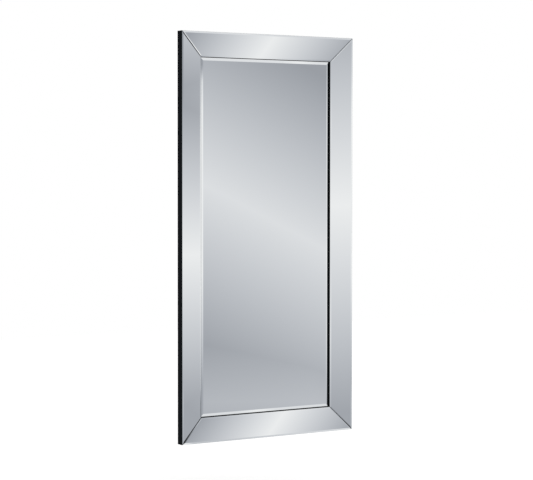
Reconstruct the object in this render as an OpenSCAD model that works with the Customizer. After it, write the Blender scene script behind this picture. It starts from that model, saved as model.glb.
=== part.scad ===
// Full-length wall mirror: a recessed centre glass inside a sloping frame of bevelled mirror strips.
// X runs to the right, Z up and Y towards the wall. The wall is the plane y = 0, and the origin
// lies on it behind the middle of the mirror.

/* [Mirror] */
// Overall width
mirror_w = 900; // [700:10:1200]
// Overall height
mirror_h = 1800; // [1400:10:2200]
// Depth from the frame's front edge to the back of the rails
frame_depth = 40; // [36:1:50]
// Width of the sloping frame, seen from the front
frame_w = 109; // [102:1:130]
// How far the frame falls back towards the centre glass
slope_drop = 23; // [16:1:25]

/* [Glass] */
// Thickness of the mirror glass
glass_t = 4; // [3:0.5:6]
// Width of the bevel round the centre glass
centre_bevel_w = 14; // [8:1:25]
// Thickness left at the edge of the centre glass
centre_edge_t = 2; // [1.5:0.1:2.8]
// Gap between the centre glass and the rails round it
glass_gap = 1; // [0.5:0.1:2]
// Width of the bevels along the frame's strips
strip_bevel_w = 7; // [4:0.5:12]
// Width of the bevels at the strips' mitred ends
end_bevel_w = 4; // [2:0.5:4]
// Thickness left at the bevelled edges of the frame's strips
strip_edge_t = 2.5; // [1.5:0.1:2.8]
// How far the strips stop short of the rails' outer and inner faces
strip_reveal = 0.2; // [0.1:0.1:1]
// Gap between two strips at the mitre
mitre_gap = 1.2; // [0.3:0.1:2]

/* [Bonding] */
// Thickness of the foam tape behind the glass
tape_t = 1; // [0.8:0.1:2]
// Width of the foam tape
tape_w = 20; // [12:1:25]
// Distance from the edge of the glass to the tape
tape_inset = 12; // [8:1:18]
// Number of tape strips behind the centre glass
centre_tapes = 5; // [3:1:8]
// Length of the pads that the centre glass stands on
pad_l = 60; // [30:5:100]

/* [Back panel] */
// Thickness of the back panel
panel_t = 4; // [3:0.5:5]
// Width of the rebate that the panel lies in
rebate_w = 12; // [11:0.5:14]
// Gap round the panel in its rebate
panel_gap = 0.5; // [0.2:0.1:1]
// Number of panel screws along each side rail
side_screws = 7; // [3:1:12]
// Number of panel screws along the top and the bottom rail
end_screws = 3; // [2:1:7]
// Distance from the recess's corner to the first panel screw
screw_end = 40; // [20:5:80]
// Wood left in front of a panel screw's tip
tip_cover = 2.6; // [1.5:0.1:3.5]
// Shank diameter of the panel screws
panel_screw_d = 3.5; // [3:0.1:4]
// Head diameter of the panel screws
panel_head_d = 7; // [6:0.1:8]

/* [Corner joints] */
// Length of the mitre biscuits
biscuit_l = 56; // [46:1:60]
// Width of the mitre biscuits
biscuit_w = 23; // [18:1:25]
// Thickness of the mitre biscuits
biscuit_t = 4; // [3:0.1:5]
// Gap round a biscuit in its slot
biscuit_gap = 0.1; // [0.05:0.05:0.3]
// Distance of a biscuit's middle from the two outer faces
biscuit_inset = 45; // [36:1:50]
// Distance from the rails' back to a biscuit's middle
biscuit_depth = 12; // [8:1:14]
// Length of a corner plate's legs
plate_l = 90; // [80:5:120]
// Width of a corner plate's legs
plate_w = 24; // [18:1:30]
// Thickness of the corner plates
plate_t = 2; // [1.5:0.1:3]
// Distance from the mirror's edges to a corner plate
plate_inset = 20; // [10:1:25]
// Distance from a leg's end to its outer screw
plate_screw_end = 14; // [12:1:18]
// Distance between the two screws of a leg
plate_screw_pitch = 32; // [20:1:34]

/* [Hangers] */
// Height of the ring's hinge below the mirror's top
hanger_drop = 300; // [200:10:500]
// Diameter of the ring's wire
ring_wire = 4; // [3:0.5:4.5]
// Width of the ring, between wire centres
ring_w = 30; // [26:1:36]
// Bend radius at the ring's two corners
ring_bend = 4; // [3:0.5:5]
// Straight length of the ring's legs
ring_leg = 6; // [2:1:12]
// Gap between the ring's wire and its knuckle
ring_gap = 0.3; // [0.2:0.05:0.4]
// Gap between the knuckle's end and the bend in the ring
knuckle_gap = 1.5; // [0.5:0.5:3]
// Thickness of the hanger's strap
strap_t = 1.2; // [1:0.1:1.5]
// Length of the strap below the hinge
strap_l = 76; // [70:1:90]
// Distance from the strap's end to its lowest screw
strap_screw_end = 9; // [8:1:12]
// Distance between the strap's screws
strap_screw_pitch = 14; // [11:1:15]
// Number of screws in each strap
strap_screws = 3; // [2:1:3]

/* [Hanger and plate screws] */
// Shank diameter
screw_d = 4; // [3.5:0.1:4.5]
// Head diameter
head_d = 8; // [7.5:0.1:9]
// Height of a pan head
pan_h = 2.4; // [2:0.1:2.8]
// Length under a pan head
screw_l = 16; // [12:1:18]
// Gap between a screw and its hole
screw_gap = 0.1; // [0.05:0.05:0.3]

/* [Wall bumpers] */
// Thickness, which is also the gap between the rails and the wall
bumper_t = 8; // [7.5:0.5:12]
// Diameter
bumper_d = 20; // [14:1:30]
// Radius of the bumper's rounded rim
bumper_round = 1.5; // [0.5:0.5:2.5]
// Distance from the mirror's top and bottom to the bumper's middle
bumper_inset = 150; // [135:5:180]

/* [Hidden] */
$fn = 48;

// Planes along Y, from the wall to the front
back_y = -bumper_t;
panel_front_y = back_y - panel_t;
glass_back_y = panel_front_y - tape_t;
glass_front_y = glass_back_y - glass_t;
front_y = back_y - frame_depth;

// The slope of the frame, and its length along the slope
slope = atan(slope_drop / frame_w);
slope_l = frame_w / cos(slope);
strip_from = (strip_reveal + strip_edge_t * sin(slope)) / cos(slope);
strip_to = (frame_w - strip_reveal) / cos(slope);
strip_rise = glass_t - strip_edge_t;
wood_n = -(strip_edge_t + tape_t);
mitre_turn = atan(cos(slope));

// The centre glass and the panel behind it
opening_w = mirror_w - 2 * frame_w;
opening_h = mirror_h - 2 * frame_w;
centre_w = opening_w - 2 * glass_gap;
centre_h = opening_h - 2 * glass_gap;
centre_rise = glass_t - centre_edge_t;
panel_w = opening_w + 2 * (rebate_w - panel_gap);
panel_h = opening_h + 2 * (rebate_w - panel_gap);
pad_x = centre_w / 4;

// Where the panel screws go, and how long they are
panel_screw_u = frame_w - rebate_w / 2;
panel_screw_l = back_y - wood_y(panel_screw_u) - tip_cover;

// Corner plates, hangers and bumpers
rail_flat = frame_w - rebate_w;
plate_screw_from = plate_l - plate_screw_end;
ring_r = ring_w / 2;
knuckle_r = ring_wire / 2 + ring_gap + strap_t;
strap_w = ring_w - 2 * (ring_bend + knuckle_gap);
hinge_y = back_y + knuckle_r;
hinge_z = mirror_h / 2 - hanger_drop;
hanger_x = mirror_w / 2 - rail_flat / 2;
recess_l = head_d * 0.55;
recess_w = head_d * 0.12;
recess_d = pan_h * 0.6;
tip_l = screw_d * 0.8;
arris = 1;
past = 1;
far = 4 * frame_w;

// A point of the frame's section: v runs down the slope from the outer edge, and n stands
// square to it, towards the room. The result is [distance inwards, y].
function on_slope(v, n) = [v * cos(slope) + n * sin(slope), front_y + v * sin(slope) - n * cos(slope)];

// The y of the rail's sloping face at a distance u from the outer edge
function wood_y(u) = front_y + u * tan(slope) - wood_n / cos(slope);

// Evenly spread places between -half and half
function spread(count, half) = [for (i = [0:count - 1]) -half + 2 * half * i / (count - 1)];

// Each side is drawn at x = 0, running along Z with the frame's inside at +X, and placed by these
module at_left() {
    translate([-mirror_w / 2, 0, 0]) children();
}

module at_right() {
    mirror([1, 0, 0]) at_left() children();
}

module at_bottom() {
    translate([0, 0, -mirror_h / 2]) rotate([0, -90, 0]) children();
}

module at_top() {
    mirror([0, 0, 1]) at_bottom() children();
}

// Four copies, for what is drawn at the lower left corner
module at_corners() {
    for (flip_x = [0, 1], flip_z = [0, 1]) {
        mirror([flip_x, 0, 0]) mirror([0, 0, flip_z])
            translate([-mirror_w / 2, 0, -mirror_h / 2]) children();
    }
}

// Turns a piece that stands on the plane z = 0 so that it stands on y = at and faces the wall
module facing_wall(at) {
    translate([0, at, 0]) rotate([-90, 0, 0]) children();
}

// What lies past the end of a strip of the given length, cut square to the slope along the mitre
module past_mitre(length, inset) {
    translate([0, front_y, length / 2]) rotate([0, 0, slope]) rotate([0, mitre_turn, 0])
        translate([-far / 2, -far / 2, -inset]) cube([2 * far, far, far]);
}

// What a bevel grinds off the mitred end, at the same angle as the bevels along the strip
module mitre_bevel(length, inset) {
    translate([0, front_y, length / 2]) rotate([0, 0, slope]) rotate([0, mitre_turn, 0])
        translate([0, 0, strip_bevel_w - end_bevel_w - inset]) rotate([-atan(strip_rise / strip_bevel_w), 0, 0])
            translate([-far / 2, -far, -far / 2]) cube([2 * far, far, far]);
}

// Does the same at both ends of a strip
module both_ends() {
    children();
    mirror([0, 0, 1]) children();
}

// One strip of mirror glass, bevelled on all four edges, with the narrower bevels at its mitred ends
module strip_glass(length) {
    difference() {
        linear_extrude(height = length, center = true)
            polygon([
                on_slope(strip_from, 0),
                on_slope(strip_from + strip_bevel_w, strip_rise),
                on_slope(strip_to - strip_bevel_w, strip_rise),
                on_slope(strip_to, 0),
                on_slope(strip_to, -strip_edge_t),
                on_slope(strip_from, -strip_edge_t)
            ]);
        both_ends() {
            past_mitre(length, mitre_gap / 2);
            mitre_bevel(length, mitre_gap / 2);
        }
    }
}

// Two runs of foam tape that bond a strip to its rail
module strip_tape(length) {
    difference() {
        linear_extrude(height = length, center = true)
            for (v = [strip_from + tape_inset, strip_to - tape_inset - tape_w]) {
                polygon([
                    on_slope(v, -strip_edge_t),
                    on_slope(v + tape_w, -strip_edge_t),
                    on_slope(v + tape_w, wood_n),
                    on_slope(v, wood_n)
                ]);
            }
        both_ends() past_mitre(length, tape_inset);
    }
}

// A lens shape, for a biscuit and for its slot: l long, w wide and t thick, at the lower left mitre
module biscuit(l, w, t) {
    r = (l * l + w * w) / (4 * w);
    translate([biscuit_inset, back_y - biscuit_depth, biscuit_inset])
        rotate([0, -45, 0]) rotate([90, 0, 0])
            intersection() {
                translate([0, r - w / 2, 0]) cylinder(h = t, r = r, center = true, $fn = 96);
                translate([0, w / 2 - r, 0]) cylinder(h = t, r = r, center = true, $fn = 96);
            }
}

// A rail's section: the sloping front, the recess wall, the rebate and the flat back
module rail_section() {
    polygon([
        [0, wood_y(0) + arris],
        [arris, wood_y(arris)],
        [frame_w, wood_y(frame_w)],
        [frame_w, panel_front_y],
        [rail_flat, panel_front_y],
        [rail_flat, back_y],
        [arris, back_y],
        [0, back_y - arris]
    ]);
}

// One mitred rail, with its pilot holes and biscuit slots cut by what is passed in
module rail(length, screws) {
    difference() {
        linear_extrude(height = length, center = true) rail_section();
        both_ends()
            translate([0, 0, length / 2]) rotate([0, 45, 0])
                translate([-far / 2, -far, 0]) cube([2 * far, 2 * far, far]);
        panel_pilots(length, screws);
    }
}

module panel_pilots(length, count) {
    for (s = spread(count, length / 2 - frame_w - screw_end)) {
        translate([panel_screw_u, panel_front_y, s])
            pilot(panel_screw_d, panel_screw_l - panel_t);
    }
}

// A blind pilot hole that starts at the origin and runs forwards
module pilot(d, l) {
    rotate([90, 0, 0]) translate([0, 0, -past]) cylinder(h = l + past + screw_gap, d = d + 2 * screw_gap);
}

// Everything that is cut from the rails apart from their own panel pilots
module rail_cuts() {
    at_corners() biscuit(biscuit_l + 2 * biscuit_gap, biscuit_w + 2 * biscuit_gap, biscuit_t + 2 * biscuit_gap);
    at_corners() at_plate_screws() translate([0, back_y, 0]) pilot(screw_d, screw_l - plate_t);
    for (side = [-1, 1]) {
        at_strap_screws(side) translate([0, back_y, 0]) pilot(screw_d, screw_l - strap_t);
    }
}

// A countersunk screw: its head is flush with z = 0 and its tip points to +Z
module countersunk_screw(d, head, l) {
    cone = (head - d) / 2;
    difference() {
        rotate_extrude()
            polygon([[0, 0], [head / 2, 0], [d / 2, cone], [d / 2, l - tip_l], [0, l]]);
        cross_recess(head);
    }
}

// A pan-head screw: the head stands below z = 0 and its tip points to +Z
module pan_screw(l) {
    rim = pan_h * 0.45;
    difference() {
        rotate_extrude()
            polygon([
                [0, -pan_h],
                [head_d * 0.22, -pan_h],
                [head_d * 0.37, -pan_h * 0.86],
                [head_d * 0.47, -pan_h * 0.62],
                [head_d / 2, -rim],
                [head_d / 2, 0],
                [screw_d / 2, 0],
                [screw_d / 2, l - tip_l],
                [0, l]
            ]);
        translate([0, 0, -pan_h]) cross_recess(head_d);
    }
}

module cross_recess(head) {
    share = head / head_d;
    for (turn = [0, 90]) {
        rotate([0, 0, turn])
            translate([-recess_l * share / 2, -recess_w * share / 2, -past])
                cube([recess_l * share, recess_w * share, recess_d * share + past]);
    }
}

// The four screws of the corner plate at the lower left corner
module at_plate_screws() {
    for (turned = [false, true], s = [plate_screw_from, plate_screw_from - plate_screw_pitch]) {
        across = plate_inset + plate_w / 2;
        along = plate_inset + s;
        translate(turned ? [along, 0, across] : [across, 0, along]) children();
    }
}

// The screws of one hanger, where side is -1 for the left one and 1 for the right one
module at_strap_screws(side) {
    for (i = [0:strap_screws - 1]) {
        translate([side * hanger_x, 0, hinge_z - strap_l + strap_screw_end + i * strap_screw_pitch]) children();
    }
}

module centre_glass() {
    color("#b9c0c6")
        difference() {
            translate([-centre_w / 2, glass_front_y, -centre_h / 2]) cube([centre_w, glass_t, centre_h]);
            for (flip = [0, 1]) {
                mirror([flip, 0, 0]) centre_bevel(centre_w / 2);
                mirror([0, 0, flip]) rotate([0, 90, 0]) centre_bevel(centre_h / 2);
            }
        }
}

// What a bevel grinds off one edge of the centre glass, at the distance edge to the left
module centre_bevel(edge) {
    length = mirror_w + mirror_h;
    translate([-edge, glass_back_y - centre_edge_t, 0])
        rotate([0, 0, -atan(centre_rise / centre_bevel_w)])
            translate([-far / 2, -far, -length / 2]) cube([far, far, length]);
}

module left_strip_glass() {
    color("#c9ced3") at_left() strip_glass(mirror_h);
}

module right_strip_glass() {
    color("#c9ced3") at_right() strip_glass(mirror_h);
}

module top_strip_glass() {
    color("#c3c8ce") at_top() strip_glass(mirror_w);
}

module bottom_strip_glass() {
    color("#c3c8ce") at_bottom() strip_glass(mirror_w);
}

module left_rail() {
    color("#17181b")
        difference() {
            at_left() rail(mirror_h, side_screws);
            rail_cuts();
        }
}

module right_rail() {
    color("#17181b")
        difference() {
            at_right() rail(mirror_h, side_screws);
            rail_cuts();
        }
}

module top_rail() {
    color("#1b1c20")
        difference() {
            at_top() rail(mirror_w, end_screws);
            rail_cuts();
        }
}

module bottom_rail() {
    color("#1b1c20")
        difference() {
            at_bottom() rail(mirror_w, end_screws);
            rail_cuts();
        }
}

module mitre_biscuits() {
    color("#c9a06a") at_corners() biscuit(biscuit_l, biscuit_w, biscuit_t);
}

module left_strip_tape() {
    color("#1f1f1f") at_left() strip_tape(mirror_h);
}

module right_strip_tape() {
    color("#1f1f1f") at_right() strip_tape(mirror_h);
}

module top_strip_tape() {
    color("#1f1f1f") at_top() strip_tape(mirror_w);
}

module bottom_strip_tape() {
    color("#1f1f1f") at_bottom() strip_tape(mirror_w);
}

// Upright runs of tape between the centre glass and the panel
module centre_tape() {
    color("#1f1f1f")
        for (x = spread(centre_tapes, centre_w / 2 - tape_inset - tape_w / 2)) {
            translate([x - tape_w / 2, glass_back_y, tape_inset - centre_h / 2])
                cube([tape_w, tape_t, centre_h - 2 * tape_inset]);
        }
}

// The two pads between the bottom rail and the centre glass's lower edge
module glass_setting_pads() {
    color("#2a2a2a")
        for (x = [-pad_x, pad_x]) {
            translate([x - pad_l / 2, glass_back_y - centre_edge_t, -opening_h / 2])
                cube([pad_l, centre_edge_t, glass_gap]);
        }
}

module back_panel() {
    color("#7a5637")
        difference() {
            translate([-panel_w / 2, panel_front_y, -panel_h / 2]) cube([panel_w, panel_t, panel_h]);
            at_panel_screws() facing_wall(back_y) panel_hole();
        }
}

// A countersunk hole through the panel, with its mouth on z = 0 and its end below it
module panel_hole() {
    wide = panel_head_d / 2 + screw_gap;
    narrow = panel_screw_d / 2 + screw_gap;
    rotate_extrude()
        polygon([
            [0, past],
            [wide + past, past],
            [wide, 0],
            [narrow, narrow - wide],
            [narrow, -panel_t - past],
            [0, -panel_t - past]
        ]);
}

module at_panel_screws() {
    for (s = spread(side_screws, mirror_h / 2 - frame_w - screw_end), side = [-1, 1]) {
        translate([side * (mirror_w / 2 - panel_screw_u), 0, s]) children();
    }
    for (s = spread(end_screws, mirror_w / 2 - frame_w - screw_end), side = [-1, 1]) {
        translate([s, 0, side * (mirror_h / 2 - panel_screw_u)]) children();
    }
}

module back_panel_screws() {
    color("#c8c9c6")
        at_panel_screws() translate([0, back_y, 0]) rotate([90, 0, 0])
            countersunk_screw(panel_screw_d, panel_head_d, panel_screw_l);
}

// An L-shaped steel plate with round ends, over the mitre at the lower left corner
module corner_plate() {
    turn = plate_w / 2;
    mid = plate_inset + turn;
    cone = (head_d - screw_d) / 2;
    difference() {
        facing_wall(back_y) mirror([0, 1, 0])
            linear_extrude(height = plate_t) {
                translate([mid, plate_inset]) translate([0, turn]) circle(r = turn);
                translate([plate_inset, mid]) square([plate_w, plate_l - plate_w]);
                translate([mid, plate_inset]) square([plate_l - plate_w, plate_w]);
                translate([mid, plate_inset + plate_l - turn]) circle(r = turn);
                translate([plate_inset + plate_l - turn, mid]) circle(r = turn);
            }
        at_plate_screws() facing_wall(back_y)
            rotate_extrude()
                polygon([
                    [0, -past],
                    [screw_d / 2 + screw_gap, -past],
                    [screw_d / 2 + screw_gap, plate_t - cone],
                    [head_d / 2 + screw_gap, plate_t],
                    [head_d / 2 + screw_gap, plate_t + past],
                    [0, plate_t + past]
                ]);
    }
}

module corner_plates() {
    color("#b4b6b5") at_corners() corner_plate();
}

module corner_plate_screws() {
    color("#c8c9c6")
        at_corners() at_plate_screws() translate([0, back_y + plate_t, 0]) rotate([90, 0, 0])
            countersunk_screw(screw_d, head_d, screw_l);
}

// A hanger's strap: a flat plate that is rolled round the ring's bar at its top
module hanger_strap(side) {
    color("#b9bbb9") {
        difference() {
            translate([side * hanger_x, 0, hinge_z]) {
                facing_wall(back_y)
                    linear_extrude(height = strap_t) {
                        translate([-strap_w / 2, 0]) square([strap_w, strap_l - strap_w / 2]);
                        translate([0, strap_l - strap_w / 2]) circle(d = strap_w);
                    }
                translate([0, knuckle_r + back_y, 0]) rotate([0, 90, 0])
                    cylinder(h = strap_w, r = knuckle_r, center = true);
            }
            translate([side * hanger_x, hinge_y, hinge_z]) rotate([0, 90, 0])
                cylinder(h = strap_w + 2 * past, d = ring_wire + 2 * ring_gap, center = true);
            at_strap_screws(side) translate([0, back_y + strap_t, 0]) pilot(screw_d, strap_t + past);
        }
    }
}

module left_hanger_strap() {
    hanger_strap(-1);
}

module right_hanger_strap() {
    hanger_strap(1);
}

// A D-shaped ring of round wire that hangs from its bar, which lies along X
module hanger_ring() {
    bow_z = -ring_bend - ring_leg;
    rotate([0, 90, 0]) cylinder(h = ring_w - 2 * ring_bend, d = ring_wire, center = true);
    for (flip = [0, 1]) {
        mirror([flip, 0, 0]) {
            translate([ring_r - ring_bend, 0, -ring_bend]) rotate([90, 0, 0])
                rotate_extrude(angle = 90) translate([ring_bend, 0]) circle(d = ring_wire);
            translate([ring_r, 0, bow_z]) cylinder(h = ring_leg, d = ring_wire);
        }
    }
    translate([0, 0, bow_z]) rotate([-90, 0, 0])
        rotate_extrude(angle = 180) translate([ring_r, 0]) circle(d = ring_wire);
}

module left_hanger_ring() {
    color("#c2c4c3") translate([-hanger_x, hinge_y, hinge_z]) hanger_ring();
}

module right_hanger_ring() {
    color("#c2c4c3") translate([hanger_x, hinge_y, hinge_z]) hanger_ring();
}

module hanger_screws() {
    color("#c8c9c6")
        for (side = [-1, 1]) {
            at_strap_screws(side) translate([0, back_y + strap_t, 0]) rotate([90, 0, 0])
                pan_screw(screw_l);
        }
}

// Four round rubber bumpers that keep the mirror off the wall
module wall_bumpers() {
    r = bumper_d / 2;
    color("#242424")
        at_corners() translate([rail_flat / 2, 0, bumper_inset]) facing_wall(back_y)
            rotate_extrude() {
                square([r, bumper_t - bumper_round]);
                square([r - bumper_round, bumper_t]);
                translate([r - bumper_round, bumper_t - bumper_round]) circle(r = bumper_round);
            }
}

centre_glass();
left_strip_glass();
right_strip_glass();
top_strip_glass();
bottom_strip_glass();
left_rail();
right_rail();
top_rail();
bottom_rail();
mitre_biscuits();
left_strip_tape();
right_strip_tape();
top_strip_tape();
bottom_strip_tape();
centre_tape();
glass_setting_pads();
back_panel();
back_panel_screws();
corner_plates();
corner_plate_screws();
left_hanger_strap();
right_hanger_strap();
left_hanger_ring();
right_hanger_ring();
hanger_screws();
wall_bumpers();
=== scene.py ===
# %% [markdown]
# # A full-length mirror with a mirrored frame
#
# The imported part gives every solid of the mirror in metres: glass, rails, panel, screws and hangers.
# Places and sizes stay as they are. What this lesson adds is the look: five glass plates with ground
# and polished edges, the finishes of wood, metal, rubber and foam, a camera and a plain studio.

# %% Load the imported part
import math

import bpy
import numpy as np
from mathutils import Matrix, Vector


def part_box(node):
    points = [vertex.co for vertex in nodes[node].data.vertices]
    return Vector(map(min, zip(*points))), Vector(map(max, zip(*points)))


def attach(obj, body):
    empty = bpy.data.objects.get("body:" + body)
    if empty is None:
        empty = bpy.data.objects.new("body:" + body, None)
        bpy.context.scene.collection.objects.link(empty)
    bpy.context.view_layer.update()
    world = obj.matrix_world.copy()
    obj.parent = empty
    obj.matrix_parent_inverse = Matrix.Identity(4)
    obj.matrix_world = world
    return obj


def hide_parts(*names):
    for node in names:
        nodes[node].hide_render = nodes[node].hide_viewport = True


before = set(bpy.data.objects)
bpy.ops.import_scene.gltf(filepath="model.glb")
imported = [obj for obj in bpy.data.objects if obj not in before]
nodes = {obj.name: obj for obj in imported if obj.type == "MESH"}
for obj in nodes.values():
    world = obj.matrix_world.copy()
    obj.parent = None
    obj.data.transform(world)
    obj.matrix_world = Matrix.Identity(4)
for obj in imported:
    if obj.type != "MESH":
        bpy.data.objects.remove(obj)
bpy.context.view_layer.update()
print("nodes:", len(nodes))

# %% [markdown]
# Two helpers serve every finish. Colours are written as designers give them, as sRGB hex values, but
# light adds up in linear numbers, so one function turns them over. The other adds one shader node with
# its settings and its inputs, and makes a link where an input is another node or one of its sockets.
#
# The sockets of the commonest nodes are given by number. A Math node takes its numbers at 0, 1 and 2. A Map
# Range node takes the value at 0 from the range between 1 and 2 to the range between 3 and 4, and holds
# still beyond the ends. A Mix node takes the share of the second one at 0, two numbers at 2 and 3 or
# two colours at 6 and 7, and a mixed colour comes out at its socket 2.

# %% Helpers for colours and nodes
WHITE = (1, 1, 1, 1)


def linear(hex_colour):
    """An sRGB hex colour as linear red, green, blue and full alpha: each channel is raised to about 2.4."""
    srgb = np.array([int(hex_colour[i:i + 2], 16) for i in (1, 3, 5)]) / 255
    low = srgb / 12.92
    high = ((srgb + 0.055) / 1.055) ** 2.4
    return (*np.where(srgb <= 0.04045, low, high).tolist(), 1.0)


def add(tree, kind, inputs=None, **settings):
    """One node of that kind with its settings. An input is a number, a colour, a socket to link, or a
    node, which stands for its first output."""
    made = tree.nodes.new(kind)
    for name, value in settings.items():
        setattr(made, name, value)
    for name, value in (inputs or {}).items():
        if isinstance(value, bpy.types.Node):
            value = value.outputs[0]
        if isinstance(value, bpy.types.NodeSocket):
            tree.links.new(value, made.inputs[name])
        else:
            made.inputs[name].default_value = value
    return made


print("middle grey in linear light:", round(linear("#808080")[0], 3))

# %% [markdown]
# The camera stands to the left of the mirror and looks 32 degrees to the right, from a little above
# the middle. Upright edges stay nearly upright in the picture, as they do when a studio camera is kept
# almost level and its lens is shifted. No tripod is quite true, so the camera is also rolled by a
# twentieth of a degree. A long lens keeps the far side of the mirror nearly as tall as the near one.

# %% Camera
PICTURE_WIDTH = 533
FOCAL_PIXELS = 1787.1
SENSOR = 36
DOWN, ROLL, TURN = 1.7364, -0.048, -32.3098

camera = bpy.data.objects.new("camera", bpy.data.cameras.new("camera"))
bpy.context.scene.collection.objects.link(camera)
bpy.context.scene.camera = camera
camera.location = (-4.2768, -6.7830, 0.3092)
camera.rotation_euler = [math.radians(angle) for angle in (90 - DOWN, ROLL, TURN)]
camera.data.sensor_fit = "HORIZONTAL"
camera.data.sensor_width = SENSOR
camera.data.lens = FOCAL_PIXELS / PICTURE_WIDTH * SENSOR
camera.data.shift_y = -0.035
print("lens in mm:", round(camera.data.lens, 1))

# %% [markdown]
# A mirror has no colour of its own: what one sees in it is the room. So the studio matters more than any
# paint here. A real studio hides the camera and hangs large soft boxes in front of a mirror, and the
# glass shows their even fall from light to grey. Each flat piece of glass looks at another part of the
# room, because each is turned another way, so the studio below is written in directions: the azimuth,
# from straight in front of the mirror to the right, and the elevation above the horizon, both in degrees.
# Rays that bounce off the mirror find a room this soft by themselves, so no rays are aimed at it.
#
# A soft box that is lit along a line and falls off evenly to both sides is a tent: its brightness at the
# ridge, minus a slope times the distance from the ridge. The studio is a few such tents and a few
# evenly lit boxes, and where they overlap the brighter one shows.

# %% Directions in the room
scene = bpy.context.scene
world = bpy.data.worlds.new("studio")
scene.world = world
world.use_nodes = True
world.cycles.sampling_method = "NONE"
room = world.node_tree
room.nodes.clear()

generated = add(room, "ShaderNodeTexCoord").outputs["Generated"]
parts = add(room, "ShaderNodeSeparateXYZ", {0: generated}).outputs
forwards = add(room, "ShaderNodeMath", {0: parts["Y"], 1: -1.0}, operation="MULTIPLY")
azimuth_turn = add(room, "ShaderNodeMath", {0: parts["X"], 1: forwards}, operation="ARCTAN2")
azimuth = add(room, "ShaderNodeMath", {0: azimuth_turn}, operation="DEGREES")
elevation_turn = add(room, "ShaderNodeMath", {0: parts["Z"]}, operation="ARCSINE")
elevation = add(room, "ShaderNodeMath", {0: elevation_turn}, operation="DEGREES")
print("nodes for the directions:", len(room.nodes))

# %% [markdown]
# The first tent is the long light strip that runs round the front of the room just below eye level. Its
# ridge is highest at azimuth 30, then falls and steps down to the right, so the bright band leans in the
# centre glass and stays level in the two side strips.

# %% The long light strip
STARTS, TURNS, FOOT = 11.0, 30.4, 34.2
STEP_FROM, STEP_TO = 34.3, 35.7

rise = add(room, "ShaderNodeMapRange", {0: azimuth, 1: STARTS, 2: TURNS, 3: 0.0, 4: 0.63})
fall = add(room, "ShaderNodeMapRange", {0: azimuth, 1: TURNS, 2: FOOT, 3: -1.226, 4: -3.266})
sunk = add(room, "ShaderNodeMapRange", {0: azimuth, 1: STEP_FROM, 2: STEP_TO, 3: 0.0, 4: -0.18})
falling = add(room, "ShaderNodeMath", {0: fall, 1: sunk}, operation="ADD")
ridge = add(room, "ShaderNodeMath", {0: rise, 1: falling}, operation="ADD")
below = add(room, "ShaderNodeMath", {0: elevation, 1: ridge}, operation="SUBTRACT")
away = add(room, "ShaderNodeMath", {0: below}, operation="ABSOLUTE")

dimmed = add(room, "ShaderNodeMapRange", {0: azimuth, 1: STARTS, 2: TURNS, 3: 0.84, 4: 0.729})
regained = add(room, "ShaderNodeMapRange", {0: azimuth, 1: STEP_FROM, 2: STEP_TO, 3: 0.0, 4: 0.107})
peak = add(room, "ShaderNodeMath", {0: dimmed, 1: regained}, operation="ADD")
slope = add(room, "ShaderNodeMapRange", {0: azimuth, 1: STEP_FROM, 2: STEP_TO, 3: -0.070, 4: -0.095})
tent = add(room, "ShaderNodeMath", {0: away, 1: slope, 2: peak}, operation="MULTIPLY_ADD")
print("the long strip starts at azimuth", STARTS, "and turns down at", TURNS)

# %% [markdown]
# Between the directions that the flat glass sees, the strip is wider, and even because its tent is cut off
# at the top. Only the bevels look there, and a wide light makes each bevel a clear, even line. The cut, the
# place and the peak of the tent change a little at the azimuth of the right strip of the frame, of the
# centre glass and of the left strip.

# %% The wide parts of the strip
CHANGES_AT = ((8.0, 13.0), (29.5, 37.0), (51.0, 56.0))
WIDE_SLOPE = -0.12

course = []
for first, changes in (
    (0.72, (0.10, -0.10, 0.15)),
    (2.0, (-1.2, 1.2, -0.3)),
    (1.13, (0.0, 0.0, 0.04)),
):
    value = first
    for (start, end), change in zip(CHANGES_AT, changes):
        step = add(room, "ShaderNodeMapRange", {0: azimuth, 1: start, 2: end, 3: 0.0, 4: change})
        value = add(room, "ShaderNodeMath", {0: step, 1: value}, operation="ADD")
    course.append(value)
most, lowered, wide_peak = course

wide_height = add(room, "ShaderNodeMath", {0: elevation, 1: lowered}, operation="ADD")
wide_away = add(room, "ShaderNodeMath", {0: wide_height}, operation="ABSOLUTE")
wide = add(room, "ShaderNodeMath", {0: wide_away, 1: WIDE_SLOPE, 2: wide_peak}, operation="MULTIPLY_ADD")
wide = add(room, "ShaderNodeMath", {0: wide, 1: most}, operation="MINIMUM")
print("nodes so far:", len(room.nodes))

# %% [markdown]
# The wide strip leaves out a window round each of these three azimuths, where the flat glass sees only the
# first tent. Behind the mirror there is no strip at all.

# %% The windows in it, and its end behind the mirror
WINDOWS = ((10.9, 1.2), (34.55, 4.45), (53.75, 1.2))
WINDOW_EDGE = 0.7
FRONT_ENDS, BACK_STARTS = 95.0, 125.0

for middle, half in WINDOWS:
    off = add(room, "ShaderNodeMath", {0: azimuth, 1: middle}, operation="SUBTRACT")
    off_size = add(room, "ShaderNodeMath", {0: off}, operation="ABSOLUTE")
    ends = {1: half, 2: half + WINDOW_EDGE, 3: 0.0, 4: 1.0}
    window = add(room, "ShaderNodeMapRange", {0: off_size, **ends})
    wide = add(room, "ShaderNodeMath", {0: wide, 1: window}, operation="MULTIPLY")
strip = add(room, "ShaderNodeMath", {0: tent, 1: wide}, operation="MAXIMUM")
sideways = add(room, "ShaderNodeMath", {0: azimuth}, operation="ABSOLUTE")
ends = {1: FRONT_ENDS, 2: BACK_STARTS, 3: 1.0, 4: 0.0}
in_front = add(room, "ShaderNodeMapRange", {0: sideways, **ends})
lights = [add(room, "ShaderNodeMath", {0: strip, 1: in_front}, operation="MULTIPLY")]
print("windows in the wide strip:", len(WINDOWS))

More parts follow.
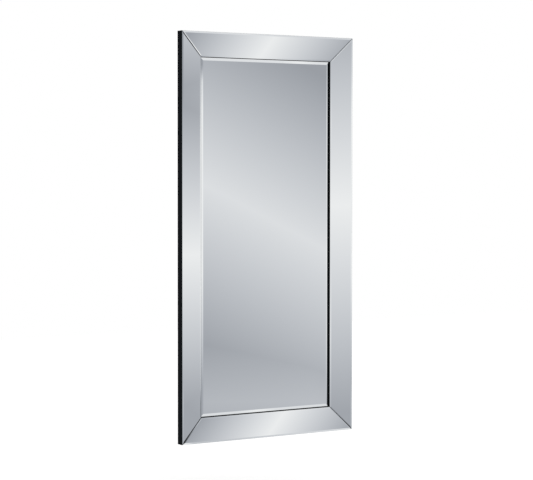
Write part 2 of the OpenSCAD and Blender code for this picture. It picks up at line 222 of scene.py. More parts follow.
# %% [markdown]
# The top and the bottom strip of the frame look down and up, at elevations of -16 and +12 degrees. There
# two upright boxes stand, both near azimuth 33 and both leaning a little, and each shows as a bright
# patch that fades along its strip. Further out, where only bevels look, the boxes bend to the right.

# %% The two upright boxes
BEND_FROM, BEND_TO = 1.13, 1.75

for height, across, lean, further, ridge_light, side_slope, starts, full in (
    (-16.0, 33.87, 0.43, 4.6, 0.838, -0.182, -10.0, -13.0),
    (12.0, 33.17, 1.13, 2.7, 0.836, -0.151, 6.0, 9.0),
):
    ends = {1: height - 1, 2: height + 1, 3: across - lean, 4: across + lean}
    leaning = add(room, "ShaderNodeMapRange", {0: elevation, **ends})
    near, far = height * BEND_FROM, height * BEND_TO
    beyond = add(room, "ShaderNodeMapRange", {0: elevation, 1: near, 2: far, 3: 0.0, 4: further})
    middle = add(room, "ShaderNodeMath", {0: leaning, 1: beyond}, operation="ADD")
    beside = add(room, "ShaderNodeMath", {0: azimuth, 1: middle}, operation="SUBTRACT")
    distance = add(room, "ShaderNodeMath", {0: beside}, operation="ABSOLUTE")
    sloped = {0: distance, 1: side_slope, 2: ridge_light}
    upright = add(room, "ShaderNodeMath", sloped, operation="MULTIPLY_ADD")
    reach = add(room, "ShaderNodeMapRange", {0: elevation, 1: starts, 2: full, 3: 0.0, 4: 1.0})
    lights.append(add(room, "ShaderNodeMath", {0: upright, 1: reach}, operation="MULTIPLY"))
    print("upright box at elevation", height, "and azimuth", across)

# %% [markdown]
# Four soft glows fill in what is left. A low, wide one between the floor and the long strip lifts the foot
# of the centre glass. High up on the right another begins, which the top end of the left strip just
# catches. Two faint ones, above and below the long strip, soften the ends of that strip's bright band. A
# glow is a tent in both angles: its light falls with the height and with the distance to the side.

# %% The soft glows
GLOW_EDGE = 4

for height, height_slope, across, side_slope, ridge_light, reach in (
    (-7.5, -0.059, 33.8, -0.010, 0.512, 12.0),
    (5.0, -0.091, 62.0, -0.012, 0.708, 40.0),
    (2.3, -0.020, 54.0, -0.050, 0.418, 5.0),
    (-6.5, -0.045, 54.0, -0.050, 0.450, 5.0),
):
    up = add(room, "ShaderNodeMath", {0: elevation, 1: height}, operation="SUBTRACT")
    up_size = add(room, "ShaderNodeMath", {0: up}, operation="ABSOLUTE")
    side = add(room, "ShaderNodeMath", {0: azimuth, 1: across}, operation="SUBTRACT")
    side_size = add(room, "ShaderNodeMath", {0: side}, operation="ABSOLUTE")
    sideways_fall = {0: side_size, 1: side_slope, 2: ridge_light}
    across_fall = add(room, "ShaderNodeMath", sideways_fall, operation="MULTIPLY_ADD")
    upward_fall = {0: up_size, 1: height_slope, 2: across_fall}
    glow = add(room, "ShaderNodeMath", upward_fall, operation="MULTIPLY_ADD")
    ends = {1: reach, 2: reach + GLOW_EDGE, 3: 1.0, 4: 0.0}
    within = add(room, "ShaderNodeMapRange", {0: side_size, **ends})
    lights.append(add(room, "ShaderNodeMath", {0: glow, 1: within}, operation="MULTIPLY"))
    print("glow at elevation", height, "and azimuth", across)

# %% [markdown]
# The bevels at the top and the bottom of the centre glass look just past the upright boxes. Two evenly lit
# boxes hang there, so that these bevels are even bright lines too. A box is its light times a window
# in azimuth times a window in elevation, and each window is two soft steps, one up and one down.

# %% The evenly lit boxes
HALF_STEP = 0.1

for light, left, right, low, high in (
    (0.74, 29.0, 37.0, 12.76, 18.0),
    (0.72, 29.0, 38.0, -23.0, -17.06),
):
    box = light
    for value, begin, end in ((azimuth, left, right), (elevation, low, high)):
        for edge, half in ((begin, HALF_STEP), (end, -HALF_STEP)):
            ends = {1: edge - half, 2: edge + half, 3: 0.0, 4: 1.0}
            inside = add(room, "ShaderNodeMapRange", {0: value, **ends})
            box = add(room, "ShaderNodeMath", {0: inside, 1: box}, operation="MULTIPLY")
    lights.append(box)
    print("even box from elevation", low, "to", high)

# %% [markdown]
# Behind the mirror hangs one more large cloth, which the glass never sees. Screws, plates and hangers face
# it, and bare metal needs something bright to show. The cloth grows lighter upwards, so that round wire and
# rolled edges get a light and a dark side. It runs through azimuth 180, where the count jumps from 180 to
# -180, so it is made as two halves.

# %% The cloth behind the mirror
lighter = add(room, "ShaderNodeMapRange", {0: elevation, 1: -45.0, 2: 25.0, 3: 0.2, 4: 1.0})
for starts, full in ((105.0, BACK_STARTS), (-166.0, -174.0)):
    hung = add(room, "ShaderNodeMapRange", {0: azimuth, 1: starts, 2: full, 3: 0.0, 4: 1.0})
    lights.append(add(room, "ShaderNodeMath", {0: hung, 1: lighter}, operation="MULTIPLY"))
print("lights in the room:", len(lights))

# %% [markdown]
# Under all of them lies the plain grey of the unlit room, a little lighter towards the floor.

# %% The grey room under the lights
LOW_GREY, HIGH_GREY = 0.38, 0.345

seen = add(room, "ShaderNodeMapRange", {0: elevation, 1: -8.0, 2: 3.0, 3: LOW_GREY, 4: HIGH_GREY})
for light in lights:
    seen = add(room, "ShaderNodeMath", {0: seen, 1: light}, operation="MAXIMUM")
print("nodes so far:", len(room.nodes))

# %% [markdown]
# The narrow bevels at the mitres look at eight more places, far from all the others. A studio hangs small
# cards in such places: a white one draws a light line along its mitre, and a black one, called a flag, a
# dark line. Each card here is a small window in both angles. Across it the light goes from one number to the
# other, as the bevel's view of it goes from the outer corner of the frame to the inner one. The last four
# cards darken the ends of long upright bevels: the top of the centre glass's left one, both ends of the
# left strip's inner one, and the foot of its outer one.

# %% Cards for the mitres and for the ends of long bevels
CARD_FULL, CARD_END = 0.8, 1.3

for outer_at, inner_at, height, outer_light, inner_light in (
    (19.93, 20.67, -28.7, 0.672, 0.888),
    (67.11, 67.49, 12.2, 0.013, 0.205),
    (52.18, 51.88, -22.7, 0.323, 0.323),
    (-0.40, -1.04, 15.6, 0.631, 0.658),
    (67.87, 68.25, -16.6, 0.000, 0.112),
    (18.64, 19.36, 24.4, 0.000, 0.546),
    (-0.11, -0.76, -19.9, 0.070, 0.266),
    (50.30, 49.99, 18.9, 0.515, 0.485),
    (18.00, 19.00, 4.05, 0.350, 0.350),
    (71.00, 72.00, 4.05, 0.460, 0.460),
    (71.00, 72.00, -8.35, 0.265, 0.265),
    (36.50, 38.00, -9.2, 0.390, 0.370),
):
    ends = {1: outer_at, 2: inner_at, 3: outer_light, 4: inner_light}
    shade = add(room, "ShaderNodeMapRange", {0: azimuth, **ends})
    aside = add(room, "ShaderNodeMath", {0: azimuth, 1: (outer_at + inner_at) / 2}, operation="SUBTRACT")
    aside_size = add(room, "ShaderNodeMath", {0: aside}, operation="ABSOLUTE")
    above = add(room, "ShaderNodeMath", {0: elevation, 1: height}, operation="SUBTRACT")
    above_size = add(room, "ShaderNodeMath", {0: above}, operation="ABSOLUTE")
    off = add(room, "ShaderNodeMath", {0: aside_size, 1: above_size}, operation="MAXIMUM")
    card = add(room, "ShaderNodeMapRange", {0: off, 1: CARD_FULL, 2: CARD_END, 3: 1.0, 4: 0.0})
    seen = add(room, "ShaderNodeMix", {0: card, 2: seen, 3: shade}, data_type="FLOAT")
print("nodes so far:", len(room.nodes))

# %% [markdown]
# The grey is cool and the lit boxes are nearly neutral, as white cloth is beside a painted wall.

# %% The colours of the room
COOL, NEUTRAL = (0.942, 0.989, 1.088, 1), (0.991, 0.999, 1.015, 1)

warmth = add(room, "ShaderNodeMapRange", {0: seen, 1: 0.36, 2: 0.84, 3: 0.0, 4: 1.0})
tint = add(room, "ShaderNodeMix", {0: warmth, 6: COOL, 7: NEUTRAL}, data_type="RGBA")
print("blue to red in the grey:", round(COOL[2] / COOL[0], 3))

# %% [markdown]
# The same world has three jobs. To the camera it is a white backdrop. To shiny surfaces it is the
# studio of boxes. To everything else it is an even white light, in which a colour renders
# about as it is written. The Light Path node tells which kind of ray is asking. The levels above are as
# they look in the glass, and silver gives back nine tenths, so the studio itself is that much brighter.

# %% One world, three jobs
SILVER = 0.90
EVEN = 0.72

path = add(room, "ShaderNodeLightPath").outputs
studio = add(room, "ShaderNodeMath", {0: seen, 1: 1 / SILVER}, operation="MULTIPLY")
shown_light = add(room, "ShaderNodeBackground", {0: tint.outputs[2], 1: studio})
even_light = add(room, "ShaderNodeBackground", {0: WHITE, 1: EVEN})
backdrop = add(room, "ShaderNodeBackground", {0: WHITE, 1: 1.0})
lit = add(room, "ShaderNodeMixShader", {0: path["Is Glossy Ray"], 1: even_light, 2: shown_light})
straight = {0: path["Is Camera Ray"], 1: path["Is Transmission Ray"]}
looked_at = add(room, "ShaderNodeMath", straight, operation="MAXIMUM")
whole = add(room, "ShaderNodeMixShader", {0: looked_at, 1: lit, 2: backdrop})
add(room, "ShaderNodeOutputWorld", {0: whole})
print("studio nodes:", len(room.nodes))

# %% [markdown]
# Two very wide, soft lamps, one before the mirror and one behind it, give rails and hardware their shading.
# They are left out of reflections, where the studio stands in for them. The view transform is Standard, so
# that a pixel is the plain sRGB value of its light.

# %% Lamps and view
LAMP_WIDTH = 50

scene.view_settings.view_transform = "Standard"
for name, strength, turn in (
    ("key_lamp", 1.15, (52, 0, -28)),
    ("back_lamp", 1.0, (58, 0, 150)),
):
    lamp = bpy.data.objects.new(name, bpy.data.lights.new(name, "SUN"))
    lamp.data.energy = strength
    lamp.data.angle = math.radians(LAMP_WIDTH)
    lamp.rotation_euler = [math.radians(angle) for angle in turn]
    lamp.visible_glossy = False
    scene.collection.objects.link(lamp)
    print(name, "strength", strength)

# %% [markdown]
# The mirror hangs, so the floor lies well below it. A floor of pale matt paint takes the mirror's soft
# shadow. The camera alone sees it a little brighter, up to the white of the backdrop, so that it has no
# visible end.

# %% Floor
FLOOR_Z, FLOOR_REACH, FLOOR_LIFT = -1.35, 9, 0.15

corners = [(x * FLOOR_REACH, y * FLOOR_REACH, FLOOR_Z) for x, y in ((-1, -1), (1, -1), (1, 1), (-1, 1))]
floor_mesh = bpy.data.meshes.new("floor")
floor_mesh.from_pydata(corners, [], [(0, 1, 2, 3)])
floor = bpy.data.objects.new("floor", floor_mesh)
scene.collection.objects.link(floor)
floor.visible_glossy = False

floor_paint = bpy.data.materials.new("pale_floor_paint")
floor_paint.use_nodes = True
tree = floor_paint.node_tree
tree.nodes.clear()
matt = add(tree, "ShaderNodeBsdfDiffuse", {0: linear("#efefef")})
lift = add(tree, "ShaderNodeEmission", {0: WHITE, 1: FLOOR_LIFT})
lifted = add(tree, "ShaderNodeAddShader", {0: matt, 1: lift})
to_camera = add(tree, "ShaderNodeLightPath").outputs["Is Camera Ray"]
chosen = add(tree, "ShaderNodeMixShader", {0: to_camera, 1: matt, 2: lifted})
add(tree, "ShaderNodeOutputMaterial", {0: chosen})
floor_mesh.materials.append(floor_paint)
print("floor at z =", FLOOR_Z)

# %% [markdown]
# Now the glass. Mirror glass is 4 mm float glass. A wheel grinds a shallow bevel along each edge and felt
# polishes it, the sharp corner that is left is broken to a narrow arris, and the back is silvered and
# painted. A cube with a Bevel modifier would give all four edges the same turn, but here the plate has a
# different outline on each level: it is a profile of insets and heights that is carried round the outline.
#
# The frame's strips lie on a slope of 23 mm over 109 mm. Seen in its own plane, a strip is a trapezium
# whose short ends are the mitres. These are the sizes of the part, in metres.

# %% Sizes of the glass
W, H = 0.900, 1.800
FRAME_W, DROP = 0.109, 0.023
FRONT = -0.048
SLOPE = math.atan2(DROP, FRAME_W)
THICK = 0.004
ARRIS = 0.0003

STRIP_EDGE, STRIP_BEVEL, END_BEVEL, REVEAL = 0.0025, 0.007, 0.004, 0.0002
STRIP_FROM = (REVEAL + STRIP_EDGE * math.sin(SLOPE)) / math.cos(SLOPE)
STRIP_TO = (FRAME_W - REVEAL) / math.cos(SLOPE)
MITRE_TURN = math.atan(math.cos(SLOPE))
MITRE_GAP = 0.0012

CENTRE_EDGE, CENTRE_BEVEL, GLASS_GAP = 0.002, 0.014, 0.001
GLASS_BACK = -0.013
print("slope in degrees:", round(math.degrees(SLOPE), 3))
print("strip width in mm:", round((STRIP_TO - STRIP_FROM) * 1000, 2))

# %% [markdown]
# An outline is kept as four straight sides, each as a direction that points out of the plate and a
# distance from the plate's own zero point. Moving each side inwards by its own inset gives the next ring
# of the plate, and the corners are where neighbouring sides cross.

# %% Outlines and rings
def strip_sides(length):
    """The four sides of a strip, anticlockwise: inner edge, one mitre, outer edge, other mitre."""
    s, c = math.sin(MITRE_TURN), math.cos(MITRE_TURN)
    end = length / 2 * c - MITRE_GAP / 2
    return np.array([(1, 0, STRIP_TO), (s, c, end), (-1, 0, -STRIP_FROM), (s, -c, end)])


def centre_sides():
    """The four sides of the centre glass, anticlockwise from the right one."""
    half_w = W / 2 - FRAME_W - GLASS_GAP
    half_h = H / 2 - FRAME_W - GLASS_GAP
    return np.array([(1, 0, half_w), (0, 1, half_h), (-1, 0, half_w), (0, -1, half_h)])


def rings(sides, insets):
    """Corners of the outline on each level, as an array of level, corner and two coordinates.
    A corner solves n1.p = c1 - inset1 and n2.p = c2 - inset2 for two neighbouring sides."""
    here, after = sides, np.roll(sides, -1, axis=0)
    normals = np.stack([here[:, :2], after[:, :2]], axis=1)
    moved = sides[:, 2] - insets
    offsets = np.stack([moved, np.roll(moved, -1, axis=1)], axis=2)
    return np.linalg.solve(normals[None], offsets[..., None])[..., 0]


print("strip corners in mm:", np.round(rings(strip_sides(H), np.zeros((1, 4)))[0] * 1000, 1).tolist())

# %% [markdown]
# The profile runs from the flat face outwards and round to the back: flat, bevel, arris, edge, arris,
# back. One wheel grinds all bevels of a plate at one angle, so the narrow bevels at a strip's mitred ends
# stop higher up, and the profile has one more level there, where the long bevels run on and the short ones
# have ended.

# %% The profile of a plate
def profile(edge, bevels, arrises):
    """Heights of the levels above the back, insets by level and side, height of each bevel's foot, and
    the bevels' rise. Down a bevel, the inset is the bevel's width minus the fall so far divided by
    the rise, until only the arris is left."""
    rise = (THICK - edge) / bevels.max()
    feet = THICK - rise * (bevels - arrises)
    upper = np.array([THICK, *np.unique(feet)[::-1]])
    ground = np.maximum(bevels - (THICK - upper[:, None]) / rise, arrises)
    heights = np.array([*upper, edge, ARRIS, 0.0])
    insets = np.vstack([ground, np.zeros((2, 4)), np.full((1, 4), ARRIS)])
    return heights, insets, feet, rise


STRIP_BEVELS = np.array([STRIP_BEVEL, END_BEVEL, STRIP_BEVEL, END_BEVEL])
CENTRE_BEVELS = np.full(4, CENTRE_BEVEL)
shown = profile(STRIP_EDGE, STRIP_BEVELS, np.full(4, ARRIS))
print("levels of a strip in mm:", np.round(shown[0] * 1000, 2).tolist())
print("fall of its bevels in degrees:", round(math.degrees(math.atan(shown[3])), 2))

# %% [markdown]
# Each band between two levels takes the finish it has on the real plate. The flat and the bevel are the
# silvered mirror, the arrises and the edge are ground glass, and the back is the paint that protects the
# silver.
#
# The silver lies behind the bevel, and the glass bends light on its way in and out. Seen through the
# bevel, the silver seems to lean only about 0.7 times as much as the ground face does, for glass of index
# 1.52 seen from 30 to 40 degrees. The shape keeps the ground face, and the shading normals of the bevel
# take the smaller lean. All other faces shade flat, each with its own normal at its four corners.

# %% From the profile to a mesh
MIRROR, BEVEL, EDGE, PAINT = 0, 1, 2, 3
GLASS_BEND = 0.72
TINY = 1e-9


def glass_plate(name, sides, origin, inwards, out, edge, bevels, arrises):
    """A plate on those sides. Point = origin + v * inwards + s * (out x inwards) + height * out, with
    (v, s) on the rings of the outline."""
    heights, insets, feet, rise = profile(edge, bevels, np.array(arrises))
    flat = rings(sides, insets)
    out, inwards = np.array(out, float), np.array(inwards, float)
    along = np.cross(out, inwards)
    points = np.array(origin) + flat[..., :1] * inwards + flat[..., 1:] * along
    points = points + heights[:, None, None] * out

    levels, corners = flat.shape[:2]
    number = np.arange(levels * corners).reshape(levels, corners)
    nearer, further = number[:-1], number[1:]
    bands = [nearer, further, np.roll(further, -1, axis=1), np.roll(nearer, -1, axis=1)]
    walls = np.stack(bands, axis=-1).reshape(-1, 4)
    faces = [number[0].tolist(), *walls.tolist(), number[-1, ::-1].tolist()]
    mesh = bpy.data.meshes.new(name)
    mesh.from_pydata(points.reshape(-1, 3).tolist(), [], faces)

    bevelled = (heights[1:, None] > np.roll(feet, -1) - TINY).ravel()
    finish = [MIRROR, *np.where(bevelled, BEVEL, EDGE).tolist(), PAINT]
    mesh.polygons.foreach_set("material_index", finish)
    mesh.polygons.foreach_set("use_smooth", np.ones(len(finish), bool))

    facing = np.array([tuple(face.normal) for face in mesh.polygons])
    lean = math.atan(rise) * GLASS_BEND
    across = np.roll(sides[:, :2], -1, axis=0)
    sidewards = across[:, :1] * inwards + across[:, 1:] * along
    silver = out * math.cos(lean) + sidewards * math.sin(lean)
    facing[1:-1][bevelled] = np.tile(silver, (levels - 1, 1))[bevelled]
    mesh.normals_split_custom_set(np.repeat(facing, corners, axis=0).tolist())
    piece = bpy.data.objects.new(name, mesh)
    scene.collection.objects.link(piece)
    return piece


print("finish numbers: mirror", MIRROR, "bevel", BEVEL, "ground edge", EDGE, "paint", PAINT)

# %% [markdown]
# Each plate needs only its origin and two directions, inwards along the slope and out of the face towards
# the room. The third direction follows from them, and it always turns the same way, so no plate comes out
# inside out.
#
# The last two numbers of a strip are the widths of the ground margins along its inner and its outer edge.
# They go on at the bevel's slope down to the edge, and they differ from side to side. On the left strip they
# are wide enough to show as thin dark lines.

# %% The five plates
s, c = math.sin(SLOPE), math.cos(SLOPE)
END_ARRIS = 0.0005

placing = {
    "left_strip": (H, (-W / 2, FRONT, 0), (c, s, 0), (s, -c, 0), 0.0018, 0.0010),
    "right_strip": (H, (W / 2, FRONT, 0), (-c, s, 0), (-s, -c, 0), 0.0005, 0.0002),
    "top_strip": (W, (0, FRONT, H / 2), (0, s, -c), (0, -c, -s), 0.0001, 0.0002),
    "bottom_strip": (W, (0, FRONT, -H / 2), (0, s, c), (0, -c, s), 0.0005, 0.0002),
}
plates = {}
for name, (length, corner, inwards, out, inner, outer) in placing.items():
    plates[name + "_glass"] = glass_plate(
        name + "_plate",
        strip_sides(length),
        np.array(corner) - STRIP_EDGE * np.array(out),
        inwards,
        out,
        STRIP_EDGE,
        STRIP_BEVELS,
        [inner, END_ARRIS, outer, END_ARRIS],
    )
plates["centre_glass"] = glass_plate(
    "centre_plate",
    centre_sides(),
    (0, GLASS_BACK, 0),
    (1, 0, 0),
    (0, -1, 0),
    CENTRE_EDGE,
    CENTRE_BEVELS,
    [ARRIS] * 4,
)
print("plates:", sorted(plates))

# %% [markdown]
# Each plate stands for the solid of the same glass, which is hidden, and rides on the mirror's body. Its box
# should be the solid's own, and what it misses by is measured.

# %% Plates in place of their solids
for node, piece in plates.items():
    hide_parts(node)
    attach(piece, "mirror")
    low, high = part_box(node)
    points = np.array([vertex.co for vertex in piece.data.vertices])
    miss = max(np.abs(points.min(0) - low).max(), np.abs(points.max(0) - high).max())
    print(piece.name, "differs from its solid by", round(miss * 1000, 3), "mm")

# %% [markdown]
# Silvered float glass is a nearly perfect mirror. Silver reflects about 95 percent, and the two passes
# through 4 mm of slightly green glass take some more of the red, so 90 percent comes back. Glass over metal
# could be built as two layers, but then every ray is bent twice for a shift of 2 mm that no eye finds, so
# the plate is a polished metal face. Float glass is flat to a few hundredths of a degree, and the roughness
# of its fire-polished face is next to nothing. A faint film of dust makes it a little rougher in patches.
#
# Patterns sit on the object's own coordinates, which are metres. The scale of a noise is then its number
# of waves in a metre: 7 for patches of 14 cm here, 650 for waves of 1.5 mm further down.

# %% Silvered float glass
def material(name):
    """An empty material with that name, its node tree, and the socket of a point's place on the object."""
    made = bpy.data.materials.new(name)
    made.use_nodes = True
    made.node_tree.nodes.clear()
    return made, made.node_tree, add(made.node_tree, "ShaderNodeTexCoord").outputs["Object"]


silvered, tree, place = material("silvered_float_glass")
film = add(
    tree, "ShaderNodeTexNoise", {"Vector": place, "Scale": 7.0, "Detail": 4.0, "Roughness": 0.6}
)
dust = add(tree, "ShaderNodeMapRange", {0: film, 1: 0.45, 2: 0.75, 3: 0.0, 4: 0.012})
mirror = {"Base Color": linear("#f3f4f3"), "Metallic": 1.0, "Roughness": dust}
shader = add(tree, "ShaderNodeBsdfPrincipled", mirror)
add(tree, "ShaderNodeOutputMaterial", {0: shader})
print("silvered glass gives back", round(mirror["Base Color"][1], 2), "of the light")

# %% [markdown]
# The bevel is the same silvered glass after grinding and polishing with felt. Its face is a little less
# even than float glass, so its roughness is higher and a slow ripple of a few centimetres runs in it.

# %% Polished bevel
RIPPLES = 30.0

polished, tree, place = material("polished_silvered_bevel")
ripple = add(tree, "ShaderNodeTexNoise", {"Vector": place, "Scale": RIPPLES, "Detail": 1.0})
wave = add(tree, "ShaderNodeBump", {"Strength": 0.15, "Distance": 0.00002, "Height": ripple})
felted = {"Base Color": linear("#f4f5f4"), "Metallic": 1.0, "Roughness": 0.02, "Normal": wave}
shader = add(tree, "ShaderNodeBsdfPrincipled", felted)
add(tree, "ShaderNodeOutputMaterial", {0: shader})
print("ripple length in mm:", round(1000 / RIPPLES))

# %% [markdown]
# The edge of the plate is ground with a fine belt. Light that enters there has come a long way through
# the glass, so it is dark green, and the belt leaves it satin.

# %% Ground glass edge
GLASS_INDEX = 1.52

ground, tree, place = material("ground_glass_edge")
belt = add(tree, "ShaderNodeTexNoise", {"Vector": place, "Scale": 900.0, "Detail": 2.0})
greens = {0: belt, 6: linear("#0d1816"), 7: linear("#1b2a26")}
green = add(tree, "ShaderNodeMix", greens, data_type="RGBA").outputs[2]
satin = {"Base Color": green, "Roughness": 0.32, "IOR": GLASS_INDEX}
shader = add(tree, "ShaderNodeBsdfPrincipled", satin)
add(tree, "ShaderNodeOutputMaterial", {0: shader})
print("index of the glass:", GLASS_INDEX)

# %% [markdown]
# The back of the glass carries a grey alkyd paint over the silver and copper, put on by a curtain coater.
# It is smooth and dull, with the slight mottle of a thin coat.

# %% Mirror backing paint
backing, tree, place = material("mirror_backing_paint")
mottle = add(tree, "ShaderNodeTexNoise", {"Vector": place, "Scale": 60.0, "Detail": 3.0})
greys = {0: mottle, 6: linear("#5b5f63"), 7: linear("#6d7175")}
grey = add(tree, "ShaderNodeMix", greys, data_type="RGBA").outputs[2]
shader = add(tree, "ShaderNodeBsdfPrincipled", {"Base Color": grey, "Roughness": 0.6})
add(tree, "ShaderNodeOutputMaterial", {0: shader})

for piece in plates.values():
    for finish in (silvered, polished, ground, backing):
        piece.data.materials.append(finish)
print("plates finished:", len(plates))

# %% [markdown]
# The rails are MDF, sprayed with a matt black lacquer. It shows as the dark side of the mirror and as the
# thin wall round the centre glass. A sprayed coat has orange peel, a skin of shallow waves about 1 to 2 mm
# long, and the grip of hands and packing polishes it a little in patches. The matting agent leaves next
# to no gloss, so its specular level is far under the usual one half.

# %% Black lacquer
lacquer, tree, place = material("matt_black_lacquer_on_mdf")
peel = add(tree, "ShaderNodeTexNoise", {"Vector": place, "Scale": 650.0, "Detail": 2.0})
handling = add(tree, "ShaderNodeTexNoise", {"Vector": place, "Scale": 9.0, "Detail": 5.0})
polish = add(tree, "ShaderNodeMapRange", {0: handling, 1: 0.3, 2: 0.7, 3: 0.38, 4: 0.52})
blacks = {0: handling, 6: linear("#080a0d"), 7: linear("#0c0f13")}
black = add(tree, "ShaderNodeMix", blacks, data_type="RGBA").outputs[2]
print("lighter black in linear light:", round(blacks[7][0], 4))

# %% [markdown]
# Nobody sees the back, so the spray gun only passes round its outer edge: towards the panel the coat gets
# thin, brown MDF shimmers through it in soft clouds about 80 mm wide, and each mitre shows as a hairline.
# The back is where Y is above -9 mm, and a mitre is where the distances to the two nearest outer edges are
# equal. Its 1 mm line is wider than the real one, so that it shows.

# %% The thin coat and the mitres at the back
BACK_Y, HALF_MM = -0.009, 0.0005
HAIR_FROM, HAIR_TO = 0.0003, 0.0006
COAT_THINS, COAT_THINNEST = 0.005, 0.1

spot = add(tree, "ShaderNodeSeparateXYZ", {0: place}).outputs
edges = []
for axis, half in (("X", W / 2), ("Z", H / 2)):
    from_middle = add(tree, "ShaderNodeMath", {0: spot[axis]}, operation="ABSOLUTE")
    edges.append(add(tree, "ShaderNodeMath", {0: half, 1: from_middle}, operation="SUBTRACT"))
nearest = add(tree, "ShaderNodeMath", {0: edges[0], 1: edges[1]}, operation="MINIMUM")
apart = add(tree, "ShaderNodeMath", {0: edges[0], 1: edges[1]}, operation="SUBTRACT")
apart_size = add(tree, "ShaderNodeMath", {0: apart}, operation="ABSOLUTE")
ends = {1: HAIR_FROM, 2: HAIR_TO, 3: 0.0, 4: 1.0}
closed = add(tree, "ShaderNodeMapRange", {0: apart_size, **ends})

ends = {1: BACK_Y - HALF_MM, 2: BACK_Y + HALF_MM, 3: 0.0, 4: 1.0}
at_back = add(tree, "ShaderNodeMapRange", {0: spot["Y"], **ends})
ends = {1: COAT_THINS, 2: COAT_THINNEST, 3: 0.02, 4: 0.34}
fading = add(tree, "ShaderNodeMapRange", {0: nearest, **ends})
gun = add(tree, "ShaderNodeTexNoise", {"Vector": place, "Scale": 12.0, "Detail": 5.0})
cloudy = add(tree, "ShaderNodeMapRange", {0: gun, 1: 0.3, 2: 0.7, 3: 0.45, 4: 1.0})
thin = add(tree, "ShaderNodeMath", {0: fading, 1: cloudy}, operation="MULTIPLY")
thin_back = add(tree, "ShaderNodeMath", {0: thin, 1: at_back}, operation="MULTIPLY")
bare = add(tree, "ShaderNodeMath", {0: thin_back, 1: closed}, operation="MULTIPLY")

shades = {0: bare, 6: black, 7: linear("#4b3a2b")}
coat = add(tree, "ShaderNodeMix", shades, data_type="RGBA").outputs[2]
duller = add(tree, "ShaderNodeMath", {0: bare, 1: 0.5, 2: polish}, operation="MULTIPLY_ADD")
waves = add(tree, "ShaderNodeMath", {0: closed, 1: peel}, operation="MULTIPLY")
skin = add(tree, "ShaderNodeBump", {"Strength": 0.25, "Distance": 0.0002, "Height": waves})
sprayed = {"Base Color": coat, "Roughness": duller, "Specular IOR Level": 0.03, "Normal": skin}
shader = add(tree, "ShaderNodeBsdfPrincipled", sprayed)
add(tree, "ShaderNodeOutputMaterial", {0: shader})
print("lacquer nodes:", len(tree.nodes))

# %% [markdown]
# The back panel is hardboard: wood fibres that are pressed hot into a dense brown sheet. Its face is a
# felt of fibres about 6 mm long that lie every way, with darker specks of bark 1 to 2 mm wide, and the
# press leaves lighter and darker clouds about 90 mm wide. Noise that is stretched along three directions
# and mixed gives the felt, a second, sharper noise the specks, and a third, slow one the clouds. A Mapping
# node of the texture type divides by its scale, so the fibre's length and width go in as they are.

# %% Hardboard
FIBRE, ACROSS = 0.006, 0.0011

hardboard, tree, place = material("pressed_hardboard")
layers = []
for turn in (12, 74, 133):
    lying = {
        "Vector": place,
        "Location": (turn / 10, 0.0, turn / 7),
        "Rotation": (0.0, math.radians(turn), 0.0),
        "Scale": (FIBRE, FIBRE, ACROSS),
    }
    laid = add(tree, "ShaderNodeMapping", lying, vector_type="TEXTURE")
    fine = {"Vector": laid, "Scale": 1.0, "Detail": 3.0, "Roughness": 0.6}
    layers.append(add(tree, "ShaderNodeTexNoise", fine))
felt = add(tree, "ShaderNodeMix", {0: 0.5, 2: layers[0], 3: layers[1]}, data_type="FLOAT")
felt = add(tree, "ShaderNodeMix", {0: 0.33, 2: felt, 3: layers[2]}, data_type="FLOAT")

pressed = add(tree, "ShaderNodeTexNoise", {"Vector": place, "Scale": 11.0, "Detail": 3.0})
denser = add(tree, "ShaderNodeMapRange", {0: pressed, 1: 0.3, 2: 0.7, 3: -0.14, 4: 0.14})
fluffy = add(tree, "ShaderNodeMapRange", {0: felt, 1: 0.4, 2: 0.6, 3: 0.0, 4: 1.0})
pulp = add(tree, "ShaderNodeMath", {0: fluffy, 1: denser}, operation="ADD", use_clamp=True)
browns = {0: pulp, 6: linear("#5f4127"), 7: linear("#80603f")}
brown = add(tree, "ShaderNodeMix", browns, data_type="RGBA").outputs[2]
bark = add(tree, "ShaderNodeTexNoise", {"Vector": place, "Scale": 330.0, "Detail": 2.0})
speck = add(tree, "ShaderNodeMapRange", {0: bark, 1: 0.66, 2: 0.72, 3: 0.0, 4: 0.75})
darker = {0: speck, 6: brown, 7: linear("#3a2616")}
specked = add(tree, "ShaderNodeMix", darker, data_type="RGBA").outputs[2]
relief = add(tree, "ShaderNodeBump", {"Strength": 0.3, "Distance": 0.0002, "Height": felt})
board = {"Base Color": specked, "Roughness": 0.58, "Specular IOR Level": 0.4, "Normal": relief}
shader = add(tree, "ShaderNodeBsdfPrincipled", board)
add(tree, "ShaderNodeOutputMaterial", {0: shader})
print("fibre in mm:", FIBRE * 1000, "by", ACROSS * 1000)

# %% [markdown]
# Screws and corner plates are zinc-plated steel. Barrel plating leaves a bright, slightly blue and uneven
# coat with faint clouds, and a metal keeps the default IOR because its colour gives the reflection.

# %% Zinc-plated steel
CLOUDS = 120.0

zinc, tree, place = material("zinc_plated_steel")
cloud = add(tree, "ShaderNodeTexNoise", {"Vector": place, "Scale": CLOUDS, "Detail": 4.0})
blues = {0: cloud, 6: linear("#a9b0b6"), 7: linear("#d3d6d4")}
plating = add(tree, "ShaderNodeMix", blues, data_type="RGBA").outputs[2]
uneven = add(tree, "ShaderNodeMapRange", {0: cloud, 1: 0.3, 2: 0.7, 3: 0.28, 4: 0.45})
bright = {"Base Color": plating, "Metallic": 1.0, "Roughness": uneven}
shader = add(tree, "ShaderNodeBsdfPrincipled", bright)
add(tree, "ShaderNodeOutputMaterial", {0: shader})
print("clouds in the zinc, mm:", round(1000 / CLOUDS))

# %% [markdown]
# The hangers are nickel-plated steel, brighter and a little warmer than zinc. The strap's face keeps fine
# lines from rolling, and the plating is smooth enough to show soft reflections.

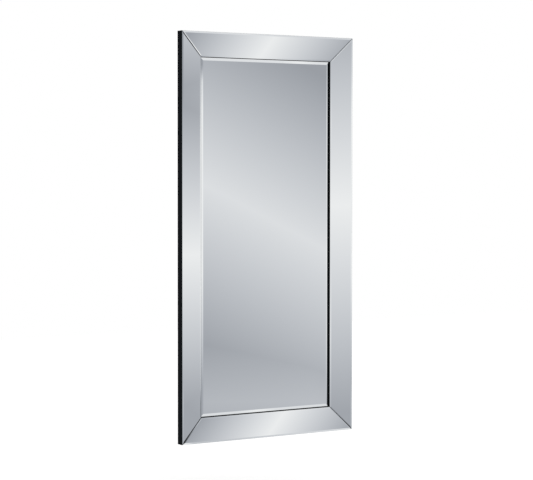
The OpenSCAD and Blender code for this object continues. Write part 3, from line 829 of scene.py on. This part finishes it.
# %% Nickel-plated steel
LINES = (2500.0, 400.0, 60.0)

nickel, tree, place = material("nickel_plated_steel")
lines = add(tree, "ShaderNodeMapping", {"Vector": place, "Scale": LINES})
rolled = add(tree, "ShaderNodeTexNoise", {"Vector": lines, "Scale": 1.0, "Detail": 2.0})
smooth = add(tree, "ShaderNodeMapRange", {0: rolled, 1: 0.3, 2: 0.7, 3: 0.16, 4: 0.27})
warms = {0: rolled, 6: linear("#c9c5ba"), 7: linear("#dcd9cf")}
plating = add(tree, "ShaderNodeMix", warms, data_type="RGBA").outputs[2]
bright = {"Base Color": plating, "Metallic": 1.0, "Roughness": smooth}
shader = add(tree, "ShaderNodeBsdfPrincipled", bright)
add(tree, "ShaderNodeOutputMaterial", {0: shader})
print("rolling lines are", round(1000 / LINES[0], 1), "mm apart")

# %% [markdown]
# Rubber, foam and beech. The bumpers are moulded from black rubber with a fine eroded mould finish. The
# pads under the centre glass are a softer, greyer rubber. The tape is closed-cell foam, so its cut edges
# show pores of about 0.3 mm. The biscuits are compressed beech with short flecks, inside the rails.

# %% Rubber, foam and beech
soft = {}
for name, dark, light, scale, rough, depth in (
    ("moulded_black_rubber", "#141414", "#1f1f1f", 1400.0, 0.62, 0.00008),
    ("setting_pad_rubber", "#2a2b2c", "#3a3b3c", 900.0, 0.7, 0.0001),
    ("closed_cell_foam_tape", "#161616", "#2b2b2b", 3000.0, 0.85, 0.0002),
):
    soft[name], tree, place = material(name)
    grain = add(tree, "ShaderNodeTexNoise", {"Vector": place, "Scale": scale, "Detail": 3.0})
    darks = {0: grain, 6: linear(dark), 7: linear(light)}
    shade = add(tree, "ShaderNodeMix", darks, data_type="RGBA").outputs[2]
    relief = add(tree, "ShaderNodeBump", {"Strength": 0.3, "Distance": depth, "Height": grain})
    dull = {"Base Color": shade, "Roughness": rough, "Specular IOR Level": 0.4, "Normal": relief}
    shader = add(tree, "ShaderNodeBsdfPrincipled", dull)
    add(tree, "ShaderNodeOutputMaterial", {0: shader})

beech, tree, place = material("pressed_beech")
flecks = add(tree, "ShaderNodeMapping", {"Vector": place, "Scale": (250.0, 250.0, 900.0)})
grain = add(tree, "ShaderNodeTexNoise", {"Vector": flecks, "Scale": 1.0, "Detail": 4.0})
woods = {0: grain, 6: linear("#a87b4a"), 7: linear("#d2a876")}
wood = add(tree, "ShaderNodeMix", woods, data_type="RGBA").outputs[2]
shader = add(tree, "ShaderNodeBsdfPrincipled", {"Base Color": wood, "Roughness": 0.6})
add(tree, "ShaderNodeOutputMaterial", {0: shader})
print("soft finishes:", sorted(soft))

# %% [markdown]
# Every solid that keeps its own shape now takes its finish in place of the plain colour from the part.

# %% Finishes on the solids
finishes = {
    "_rail": lacquer,
    "back_panel": hardboard,
    "_screws": zinc,
    "corner_plates": zinc,
    "_hanger_strap": nickel,
    "_hanger_ring": nickel,
    "wall_bumpers": soft["moulded_black_rubber"],
    "glass_setting_pads": soft["setting_pad_rubber"],
    "_tape": soft["closed_cell_foam_tape"],
    "mitre_biscuits": beech,
}
for node, solid in nodes.items():
    fitting = [finish for ending, finish in finishes.items() if node.endswith(ending)]
    if fitting and node not in plates:
        for slot in solid.material_slots:
            slot.material = fitting[0]
        print(node, "is", fitting[0].name)
